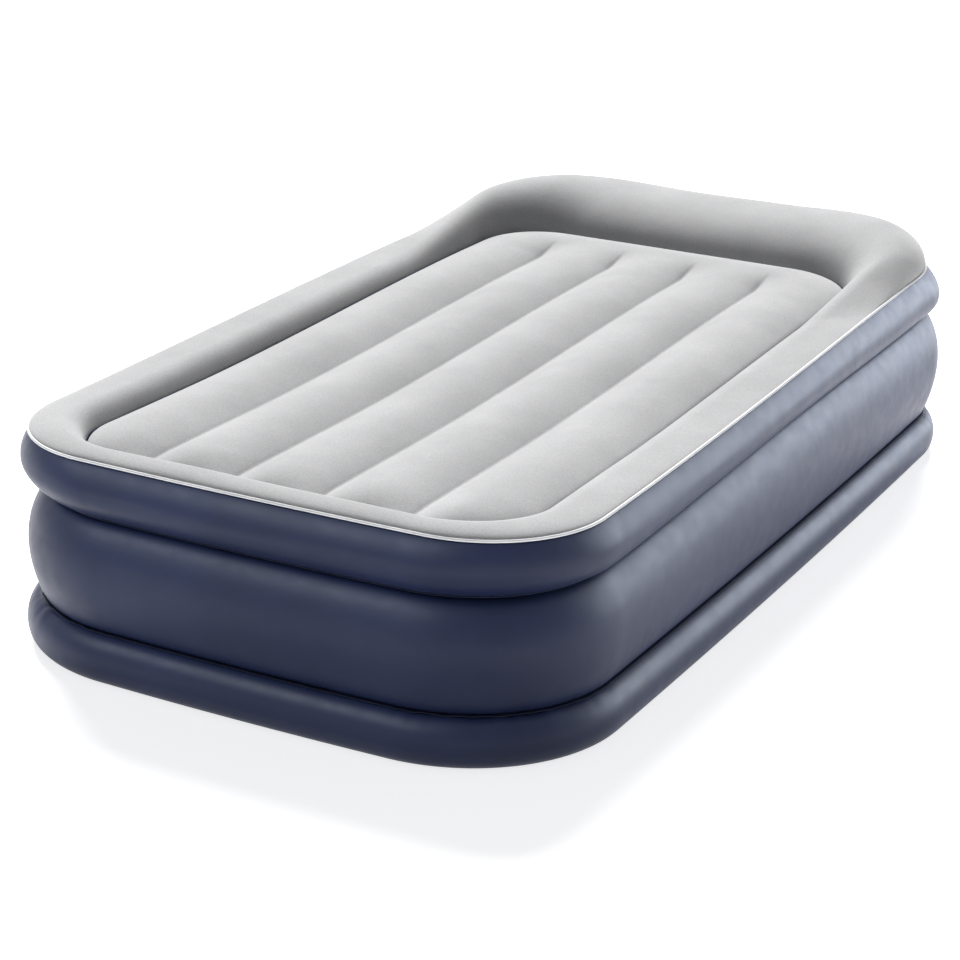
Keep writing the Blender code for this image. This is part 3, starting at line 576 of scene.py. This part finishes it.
def base_tier():
    seam = tier(BASE_SEAM_INSET, BASE_CORNERS)
    crease = puckers(seam, seed=11, reach=0.022, height=0.0024, wavelength=0.050)
    rings = []
    for inset, z in smooth_section(BASE_SECTION, BASE_RINGS):
        plan = tier(inset, BASE_CORNERS)
        away = np.hypot(inset - BASE_SEAM_INSET, z - BASE_SEAM_Z)
        push = crease(away) * min(1.0, away / SEAM_CALM) * min(1.0, z / FLOOR_CALM)
        plan = plan + loop_normal(plan) * push[:, None] * SIDEWAYS
        rings.append(np.column_stack([plan, z + push]))
    faces = strip_faces(len(rings), COUNT)
    made = piece("bottom_tier_skin", np.concatenate(rings), faces, "vinyl_navy")
    air_tight(made, "base_wall")
    bend = LIP_STRAIGHT + (1 - LIP_STRAIGHT) * loop_bend(seam)
    wave = loop_noise(seam, LIP_WAVE_LENGTH, 5, 2) * bend * LIP_WAVE
    plan = tier(LIP_INSET, BASE_CORNERS)
    lip = bead_ring("bottom_tier_lip", plan, BASE_SEAM_Z + wave, LIP_SIZE, "seam_navy")
    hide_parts("base_seam")


def middle_tier():
    base = tier(BASE_SEAM_INSET, BASE_CORNERS)
    waist = tier(WAIST_INSET, WAIST_CORNERS)
    made = bulging_wall(
        "middle_tier_skin",
        low=(BASE_SEAM_INSET, lambda y: np.full_like(y, SEAM_HIGH.z), BASE_CORNERS),
        high=(WAIST_INSET, lambda y: waist_z(y) - WAIST_GAP, WAIST_CORNERS),
        swell=MIDDLE_SWELL,
        fullness=MIDDLE_FULLNESS,
        steps=44,
        low_pucker=puckers(base, seed=21, reach=0.020, height=0.0013, wavelength=0.075),
        high_pucker=puckers(waist, seed=31, reach=0.020, height=0.0009, wavelength=0.080),
    )
    open_for(made, pump_opening)
    open_for(made, valve_opening)
    air_tight(made, "middle_wall")
    plan = tier(WAIST_INSET - WAIST_WELD_PROUD, WAIST_CORNERS)
    weld = bead_ring("waist_weld", plan, waist_z(plan[:, 1]), WAIST_WELD, "seam_navy")
    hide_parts("waist_seam")


def top_tier():
    waist = tier(WAIST_INSET, WAIST_CORNERS)
    piping = tier(PIPING_INSET, PIPING_CORNERS)
    made = bulging_wall(
        "top_tier_skin",
        low=(WAIST_INSET, lambda y: waist_z(y) + WAIST_GAP, WAIST_CORNERS),
        high=(PIPING_INSET + BEAD_COVER, lambda y: piping_z(y) - BEAD_GAP, PIPING_CORNERS),
        swell=TOP_SWELL,
        fullness=TOP_FULLNESS,
        steps=36,
        low_pucker=puckers(waist, seed=41, reach=0.020, height=0.0009, wavelength=0.080),
        high_pucker=puckers(piping, seed=51, reach=0.014, height=0.0006, wavelength=0.060),
    )
    air_tight(made, "upper_wall")
    plan = tier(PIPING_INSET - BEAD_PROUD, PIPING_CORNERS)
    bead = bead_ring("edge_bead", plan, piping_z(plan[:, 1]), BEAD_SIZE, "edge_trim", sides=12)
    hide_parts("edge_piping")


# The openings in the head end, for the pump's collar and the hand valve's

PUMP_X = (HOUSING_LOW.x + HOUSING_HIGH.x) / 2
PUMP_Z = (HOUSING_LOW.z + HOUSING_HIGH.z) / 2
PUMP_HALF_X = HOUSING_HIGH.x - PUMP_X
PUMP_HALF_Z = HOUSING_HIGH.z - PUMP_Z
PUMP_CORNER = 0.0008
VALVE_X = (VALVE_LOW.x + VALVE_HIGH.x) / 2
VALVE_Z = VALVE_LOW.z + (VALVE_HIGH.x - VALVE_LOW.x) / 2
VALVE_RADIUS = 0.0215

# How far out each flange reaches along the wall, and the y where it meets its collar
PUMP_FLANGE_REACH = 0.020
PUMP_FLANGE_Y = HOUSING_HIGH.y - 0.0015
VALVE_FLANGE_REACH = 0.014
VALVE_FLANGE_Y = 0.9490

# Only faces beyond this y are cut, and this far outside the opening
HEAD_END_Y = 0.85
CUT_MARGIN = 0.004

# A flange starts this far outside its collar, lies this far above the wall, tucks its last ring in and
# climbs to the collar over this share of its reach
FLANGE_GAP = 0.0006
FLANGE_ABOVE = 0.0009
FLANGE_TUCK = 0.0016
FLANGE_CLIMB = 0.75
FLANGE_SKIN = 0.0008


def pump_opening(x, z):
    """Negative inside the hole that the pump's collar fills."""
    return max(abs(x - PUMP_X) - PUMP_HALF_X, abs(z - PUMP_Z) - PUMP_HALF_Z)


def valve_opening(x, z):
    """Negative inside the hole that the hand valve's collar fills."""
    return np.hypot(x - VALVE_X, z - VALVE_Z) - VALVE_RADIUS


def open_for(skin, opening):
    """Takes out the faces of the head end that lie in an opening; a welded flange covers the cut."""
    shape = bmesh.new()
    shape.from_mesh(skin.data)
    inside = []
    for face in shape.faces:
        middle = face.calc_center_median()
        if middle.y > HEAD_END_Y and opening(middle.x, middle.z) < CUT_MARGIN:
            inside.append(face)
    bmesh.ops.delete(shape, geom=inside, context="FACES")
    shape.to_mesh(skin.data)
    shape.free()


def middle_wall_y(x, z):
    """Where the middle tier's wall lies at the head end."""
    low_z, high_z = SEAM_HIGH.z, waist_z(HALF_LENGTH)
    share = np.clip((z - low_z) / (high_z - low_z), 0.0, 1.0)
    rest = blend(BASE_SEAM_INSET, WAIST_INSET, share)
    inset = rest - (rest - MIDDLE_SWELL) * np.sin(pi * share) ** MIDDLE_FULLNESS
    corner = blend(BASE_CORNERS[1], WAIST_CORNERS[1], share) - inset
    straight = HALF_WIDTH - inset - SIDE_BOW - corner
    beyond = np.clip(np.abs(x) - straight, 0, corner)
    bow = END_BOW * (1 - np.clip(np.abs(x) / straight, 0, 1) ** 2)
    return HALF_LENGTH - inset - END_BOW - corner + np.sqrt(corner**2 - beyond**2) + bow


def pump_ring(away, steps=14):
    """Points round the pump's collar, some way outside it, anticlockwise seen from the head."""
    half_x, half_z, corner = PUMP_HALF_X + away, PUMP_HALF_Z + away, PUMP_CORNER + away
    points = []
    for turn, (side, up) in enumerate(((-1, 1), (1, 1), (1, -1), (-1, -1))):
        for step in range(steps + 1):
            angle = pi - turn * pi / 2 - (pi / 2) * step / steps
            x = PUMP_X + side * (half_x - corner) + corner * cos(angle)
            z = PUMP_Z + up * (half_z - corner) + corner * sin(angle)
            points.append((x, z))
    return np.array(points)


def valve_ring(away, steps=72):
    """Points round the hand valve's collar, some way outside it."""
    turn = -np.linspace(0, 2 * pi, steps, endpoint=False)
    radius = VALVE_RADIUS + away
    return np.column_stack([VALVE_X + radius * np.cos(turn), VALVE_Z + radius * np.sin(turn)])


def flange(name, ring_at, reach, front_y, steps=10):
    """A welded vinyl skirt from the wall up to a rigid collar. ring_at(d) is a ring d outside the collar."""
    rings = []
    for step in range(steps + 1):
        x, z = ring_at(FLANGE_GAP + (reach - FLANGE_GAP) * step / steps).T
        on_wall = middle_wall_y(x, z) + FLANGE_ABOVE
        y = blend(front_y, on_wall, ease(np.full(len(x), step / (steps * FLANGE_CLIMB))))
        if step == steps:
            y = on_wall - FLANGE_TUCK
        rings.append(np.column_stack([x, y, z]))
    faces = strip_faces(len(rings), len(rings[0]))
    made = piece(name, np.concatenate(rings), faces, "seam_navy")
    solid_skin(made, FLANGE_SKIN)


def flanges():
    flange("pump_flange", pump_ring, PUMP_FLANGE_REACH, PUMP_FLANGE_Y)
    flange("valve_flange", valve_ring, VALVE_FLANGE_REACH, VALVE_FLANGE_Y)


# The flocked top

# The crest lies at this share of the way from the bead to the sleeping surface, and at a lower share
# from where the pillow starts
CREST_SHARE_SIDE = 0.58
CREST_SHARE_FALL = 0.18
CREST_FALL_START = 0.3
CREST_FALL_LENGTH = 0.5
CREST_SWAY = 0.0010
CREST_SWAY_LENGTH = 0.35
# The border's outer edge lies this far above the bead's middle and outside the seam there, its crest at
# least this far above that edge, and its inner edge this far outside the surface's weld
EDGE_LIFT = 0.0012
EDGE_PROUD = 0.0005
LEAST_CROWN = 0.002
INNER_GAP = 0.0004
RISING_RINGS = 16
FALLING_RINGS = 34


def top_border():
    """The border swells from the bead to its crest, then rolls down to the sleeping surface."""
    outer = tier(PIPING_INSET - EDGE_PROUD, PIPING_CORNERS)
    inner = panel_outline(-INNER_GAP)
    fall = ease((outer[:, 1] - CREST_FALL_START) / CREST_FALL_LENGTH)
    crest_at = CREST_SHARE_SIDE - CREST_SHARE_FALL * fall
    middle = blend(outer, inner, crest_at[:, None])
    sway = loop_noise(outer, CREST_SWAY_LENGTH, 91, 2) * CREST_SWAY
    low = piping_z(outer[:, 1]) + EDGE_LIFT
    crest = np.maximum(crest_z(middle[:, 0], middle[:, 1]) + sway, low + LEAST_CROWN)
    edge = surface_edge_z(inner[:, 1])
    rings = []
    for angle in np.linspace(0, pi / 2, RISING_RINGS, endpoint=False):
        share = crest_at * (1 - cos(angle))
        z = low + (crest - low) * sin(angle)
        rings.append(np.column_stack([blend(outer, inner, share[:, None]), z]))
    for angle in np.linspace(0, pi / 2, FALLING_RINGS):
        share = crest_at + (1 - crest_at) * sin(angle)
        z = edge + (crest - edge) * cos(angle)
        rings.append(np.column_stack([blend(outer, inner, share[:, None]), z]))
    faces = strip_faces(len(rings), COUNT)
    made = piece("flocked_border", np.concatenate(rings), faces, "flock_grey")
    air_tight(made, "top_border")


# Cloth simulation: its length, its air pressure and how far it may move a point
SIM_FRAMES = 20
SIM_PRESSURE = 4.0
SIM_CAP = 0.0014


def vertex_places(mesh):
    places = np.empty(len(mesh.vertices) * 3)
    mesh.vertices.foreach_get("co", places)
    return places.reshape(-1, 3)


def inflate(made, held):
    """Lets air pressure push the skin out between its held points, then keeps the shape it takes, capped."""
    scene = bpy.context.scene
    mesh = made.data
    before = vertex_places(mesh)
    group = made.vertex_groups.new(name="held")
    group.add([int(index) for index in np.flatnonzero(held)], 1.0, "REPLACE")
    cloth = made.modifiers.new("Inflate", "CLOTH")
    settings = cloth.settings
    settings.quality = 5
    settings.mass = 0.3
    settings.tension_stiffness = 60
    settings.compression_stiffness = 60
    settings.shear_stiffness = 20
    settings.bending_stiffness = 4.0
    settings.vertex_group_mass = "held"
    settings.effector_weights.gravity = 0
    settings.use_pressure = True
    settings.uniform_pressure_force = SIM_PRESSURE
    settings.shrink_min = 0.0
    cloth.collision_settings.use_collision = False
    cloth.point_cache.frame_start = 1
    cloth.point_cache.frame_end = SIM_FRAMES
    for step in range(1, SIM_FRAMES + 1):
        scene.frame_set(step)
    after = vertex_places(made.evaluated_get(bpy.context.evaluated_depsgraph_get()).data)
    made.modifiers.remove(cloth)
    made.vertex_groups.remove(group)
    scene.frame_set(1)
    moved = after - before
    length = np.linalg.norm(moved, axis=1, keepdims=True)
    moved *= SIM_CAP / np.maximum(length, SIM_CAP)
    mesh.vertices.foreach_set("co", (before + moved).ravel())
    mesh.update()


# The sleeping surface: five channels between four grooves
PITCH = 0.1440
CHANNELS = 5
GROOVES = [(number - CHANNELS / 2) * PITCH for number in range(1, CHANNELS)]
GROOVE_FOOT = WELD_LOW.y + 0.012
GROOVE_HEAD = WELD_HIGH.y - 0.085
GROOVE_DEPTH = 0.020
# Half the flat width of a groove's weld
GROOVE_WELD = 0.0020
# How high the channels stand above the weld round them, and how far in they reach that height
CHANNEL_RISE = 0.028
ROLL = 0.080
# The power that squares off a channel's crown
CHANNEL_FULLNESS = 0.72
# Over what length a groove fades out towards the foot and the head, and how far past its foot it goes
FOOT_FADE = 0.060
HEAD_FADE = 0.110
FOOT_OVERRUN = 0.040
# How finely it is cut, and how much its rows crowd towards the ends
SURFACE_ROWS = 260
CHANNEL_STEPS = 28
ROW_CROWDING = 0.45
# The grid's edge lies this far inside the weld, and points this near to it are held in the simulation
SURFACE_INSET = 0.0030
HELD_EDGE = 0.006
# So are those this far beside a groove's weld, up to this far short of the groove's head
HELD_BESIDE = 0.0008
HELD_SHORT = 0.02
# The weld round the surface and the dark navy strip above it, which is painted shade for the crease where
# the surface rolls down under the border: half their width and height, how far inside the loop round the
# surface they run, and how far below or above its edge
PANEL_WELD = (0.0024, 0.0008)
PANEL_WELD_INSET = 0.0012
PANEL_WELD_DROP = 0.0008
CREASE_SHADE_SIZE = (0.0009, 0.0038)
CREASE_SHADE_INSET = 0.0006
CREASE_SHADE_RISE = 0.0034


def inside_distance(x, y):
    """How far a plan point lies inside the edge of the surface."""
    half, head, foot = WELD_HIGH.x, WELD_HIGH.y, WELD_LOW.y
    plain = np.minimum(half - np.abs(x), np.minimum(head - y, y - foot))
    foot_corner, head_corner = SURFACE_CORNERS
    for corner, end, sign in ((head_corner, head, 1), (foot_corner, foot, -1)):
        across = np.abs(x) - (half - corner)
        along = (y - (end - sign * corner)) * sign
        plain = np.where((across > 0) & (along > 0), corner - np.hypot(across, along), plain)
    return plain - SURFACE_INSET


def panel_height(x, y):
    """The inflated surface: it rolls up from its weld all round, and the grooves cut its crown."""
    share = np.clip(inside_distance(x, y) / ROLL, 0, 1)
    roll = np.sqrt(np.clip(1 - (1 - share) ** 2, 0, 1))
    nearest = np.min([np.abs(x - groove) for groove in GROOVES], axis=0)
    nearest = np.maximum(nearest - GROOVE_WELD, 0)
    across = np.clip(nearest / (PITCH - 2 * GROOVE_WELD), 0, 0.5)
    hollow = 1 - np.sin(pi * across) ** CHANNEL_FULLNESS
    foot_fade = ease((y - GROOVE_FOOT + FOOT_OVERRUN) / FOOT_FADE)
    head_fade = ease((GROOVE_HEAD - y) / HEAD_FADE)
    depth = GROOVE_DEPTH * foot_fade * head_fade
    return surface_edge_z(y) + roll * (CHANNEL_RISE - depth * hollow)


def surface_grid():
    """Plan places of the surface's points, as rows from foot to head, close together where it curves."""
    v = np.linspace(0, 1, SURFACE_ROWS + 1)
    v = ROW_CROWDING * (0.5 - 0.5 * np.cos(pi * v)) + (1 - ROW_CROWDING) * v
    ys = blend(WELD_LOW.y + SURFACE_INSET, WELD_HIGH.y - SURFACE_INSET, v)
    foot_corner, head_corner = [corner - SURFACE_INSET for corner in SURFACE_CORNERS]
    half = WELD_HIGH.x - SURFACE_INSET
    over = np.clip(ys - (WELD_HIGH.y - SURFACE_INSET - head_corner), 0, head_corner)
    under = np.clip(WELD_LOW.y + SURFACE_INSET + foot_corner - ys, 0, foot_corner)
    width = np.minimum(
        half - head_corner + np.sqrt(head_corner**2 - over**2),
        half - foot_corner + np.sqrt(foot_corner**2 - under**2),
    )
    crowd = 0.5 - 0.5 * np.cos(np.linspace(0, pi, CHANNEL_STEPS + 1))
    channels = [blend(left, right, crowd[:-1]) for left, right in zip(GROOVES, GROOVES[1:])]
    middle = np.concatenate([*channels, [GROOVES[-1]]])
    edge = GROOVES[-1]
    right = edge + (width - edge)[:, None] * crowd[None, 1:]
    x = np.hstack([-right[:, ::-1], np.tile(middle, (SURFACE_ROWS + 1, 1)), right])
    return x, np.repeat(ys[:, None], x.shape[1], axis=1)


def held_points(x, y):
    """Which points the welds hold still: those at the surface's edge and those along its grooves."""
    held = inside_distance(x, y) < HELD_EDGE
    for groove in GROOVES:
        in_weld = np.abs(x - groove) < GROOVE_WELD + HELD_BESIDE
        held |= in_weld & (y < GROOVE_HEAD - HELD_SHORT)
    return held


def sleeping_surface():
    x, y = surface_grid()
    points = np.column_stack([x.ravel(), y.ravel(), panel_height(x, y).ravel()])
    faces = grid_faces(SURFACE_ROWS, x.shape[1] - 1)
    made = piece("sleeping_top", points, faces, "flock_grey")
    inflate(made, held_points(points[:, 0], points[:, 1]))
    air_tight(made, "sleeping_surface")
    plan = panel_outline(PANEL_WELD_INSET)
    weld_z = surface_edge_z(plan[:, 1]) - PANEL_WELD_DROP
    weld = bead_ring("sleeping_top_weld", plan, weld_z, PANEL_WELD, "seam_navy")
    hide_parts("surface_weld")
    # A dark navy strip just above the weld all round: painted shade for the crease between the surface and
    # the border
    plan = panel_outline(CREASE_SHADE_INSET)
    crease_shade_z = surface_edge_z(plan[:, 1]) + CREASE_SHADE_RISE
    bead_ring("sleeping_top_crease_shade", plan, crease_shade_z, CREASE_SHADE_SIZE, "seam_navy")


BOTTOM_INSET = 0.0222
BOTTOM_SKIN = 0.0012


def bottom_sheet():
    """The flat sheet that the bed stands on, one face inside the bottom tier's foot."""
    points = [(x, y, 0.0) for x, y in tier(BOTTOM_INSET, BASE_CORNERS)]
    made = piece("bottom_sheet_skin", points, [tuple(range(COUNT))[::-1]], "vinyl_bottom")
    solid_skin(made, BOTTOM_SKIN)
    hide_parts("bottom_sheet")


# The check valve's spring: its turns, its steps along the wire, the sides round the wire and the wire's
# radius
SPRING_TURNS = 4
SPRING_STEPS = 160
SPRING_SIDES = 8
SPRING_WIRE = 0.0006


def valve_spring():
    low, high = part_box("valve_spring")
    middle = np.array([(low.x + high.x) / 2, 0, (low.z + high.z) / 2])
    radius = (high.x - low.x) / 2 - SPRING_WIRE
    points = []
    for step in range(SPRING_STEPS + 1):
        turn = 2 * pi * SPRING_TURNS * step / SPRING_STEPS
        radial = np.array([cos(turn), 0, sin(turn)])
        y = blend(low.y + SPRING_WIRE, high.y - SPRING_WIRE, step / SPRING_STEPS)
        place = middle + radial * radius + np.array([0, y, 0])
        for side in range(SPRING_SIDES):
            angle = 2 * pi * side / SPRING_SIDES
            points.append(place + SPRING_WIRE * (radial * cos(angle) + np.array([0, sin(angle), 0])))
    faces = strip_faces(SPRING_STEPS + 1, SPRING_SIDES)
    last = SPRING_STEPS * SPRING_SIDES
    faces += [tuple(range(SPRING_SIDES))[::-1], tuple(range(last, last + SPRING_SIDES))]
    made = piece("valve_spring_coil", points, faces, "steel")
    shape = bmesh.new()
    shape.from_mesh(made.data)
    bmesh.ops.recalc_face_normals(shape, faces=shape.faces)
    shape.to_mesh(made.data)
    shape.free()
    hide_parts("valve_spring")
    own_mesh(made)


def dress_cad_nodes():
    """Gives each CAD node the finish of its slot, for those that show as they are."""
    for row in frame["record"]["subparts"]:
        node = frame["nodes"][row["node"]]
        node.data.materials.clear()
        node.data.materials.append(FINISHES[row["material_slot"]])


# Camera, lights and floor

# The camera's turn round the bed, its height angle, its tilt, its lens in millimetres and its place
AZIMUTH = radians(26.87)
ELEVATION = radians(19.76)
TILT = radians(1.91)
LENS = 90.7
CAMERA_PLACE = (1.699, -3.560, 1.490)

# The soft sun that lights everything
SUN_POWER = 7.1
SUN_ANGLE = radians(36)
SUN_DIRECTION = (0.42, -0.66, -0.62)

# Two broad lights for the vinyl alone, as (name, place, aim, size, power, colour)
VINYL_LIGHTS = [
    ("side_wall", (3.2, 3.7, 1.1), (0.5, 0.1, 0.2), (5.0, 3.4), 400, (0.82, 0.89, 1.0)),
    ("front_band", (-1.5, -3.3, 2.6), (0.0, -0.9, 0.28), (3.4, 0.7), 110, (0.86, 0.92, 1.0)),
]
VINYL_SKINS = ("bottom_tier_skin", "middle_tier_skin", "top_tier_skin")

# The world's colour as the camera and reflections see it, and as soft light
WORLD_SEEN = (1, 1, 1, 1)
WORLD_LIGHT = (0.15, 0.153, 0.16, 1)

# The pale floor, which glows a little so that the shadow stays faint
FLOOR_REACH = 30.0
FLOOR_GLOW = 0.76
FLOOR_DROP = 0.0005


def camera():
    data = bpy.data.cameras.new("camera")
    data.lens = LENS
    data.sensor_width = 36.0
    made = bpy.data.objects.new("camera", data)
    bpy.context.scene.collection.objects.link(made)
    back = Vector((sin(AZIMUTH) * cos(ELEVATION), -cos(AZIMUTH) * cos(ELEVATION), sin(ELEVATION)))
    right = Vector((cos(AZIMUTH), sin(AZIMUTH), 0))
    up = back.cross(right)
    turned_right = cos(TILT) * right + sin(TILT) * up
    turned_up = -sin(TILT) * right + cos(TILT) * up
    turn = Matrix((turned_right, turned_up, back)).transposed()
    made.matrix_world = Matrix.Translation(CAMERA_PLACE) @ turn.to_4x4()
    bpy.context.scene.camera = made


def area_light(name, place, aim, size, power, colour, only):
    """A soft rectangular light that shines on one collection only."""
    data = bpy.data.lights.new(name, "AREA")
    data.shape = "RECTANGLE"
    data.size, data.size_y = size
    data.energy = power
    data.color = colour
    made = bpy.data.objects.new(name, data)
    bpy.context.scene.collection.objects.link(made)
    made.location = place
    made.rotation_euler = (Vector(aim) - Vector(place)).to_track_quat("-Z", "Y").to_euler()
    made.light_linking.receiver_collection = only


def sun():
    data = bpy.data.lights.new("sky", "SUN")
    data.energy = SUN_POWER
    data.angle = SUN_ANGLE
    made = bpy.data.objects.new("sky", data)
    bpy.context.scene.collection.objects.link(made)
    made.rotation_euler = Vector(SUN_DIRECTION).to_track_quat("-Z", "Y").to_euler()


def world():
    """White to the camera and to reflections, and dimmer as a source of soft light."""
    studio = bpy.data.worlds.new("studio")
    bpy.context.scene.world = studio
    studio.use_nodes = True
    tree = studio.node_tree
    path = tree.nodes.new("ShaderNodeLightPath")
    mix = tree.nodes.new("ShaderNodeMix")
    mix.data_type = "RGBA"
    mix.inputs[6].default_value = WORLD_SEEN
    mix.inputs[7].default_value = WORLD_LIGHT
    tree.links.new(path.outputs["Is Diffuse Ray"], mix.inputs[0])
    tree.links.new(mix.outputs[2], tree.nodes["Background"].inputs["Color"])


def lights():
    sun()
    tiers = bpy.data.collections.new("lit_vinyl")
    for name in VINYL_SKINS:
        tiers.objects.link(bpy.data.objects[name])
    for values in VINYL_LIGHTS:
        area_light(*values, only=tiers)
    world()


def floor():
    mesh = bpy.data.meshes.new("floor")
    corners = [(x * FLOOR_REACH, y * FLOOR_REACH, 0) for x, y in ((-1, -1), (1, -1), (1, 1), (-1, 1))]
    mesh.from_pydata(corners, [], [(0, 1, 2, 3)])
    n = Nodes("floor_paint")
    colour = n.ramp(n.noise(3.0, 2.0), [(0.2, (0.93, 0.93, 0.93)), (0.8, (0.95, 0.95, 0.95))])
    n.link(colour, n.shader.inputs["Base Color"])
    n.set(Roughness=0.7, Specular_IOR_Level=0.0)
    n.set(Emission_Color=(1, 1, 1, 1), Emission_Strength=FLOOR_GLOW)
    mesh.materials.append(n.material)
    made = bpy.data.objects.new("floor", mesh)
    made.location.z = -FLOOR_DROP
    bpy.context.scene.collection.objects.link(made)


base_tier()
middle_tier()
top_tier()
flanges()
top_border()
sleeping_surface()
bottom_sheet()
valve_spring()
dress_cad_nodes()
camera()
lights()
floor()
bpy.context.scene.view_settings.view_transform = "Standard"
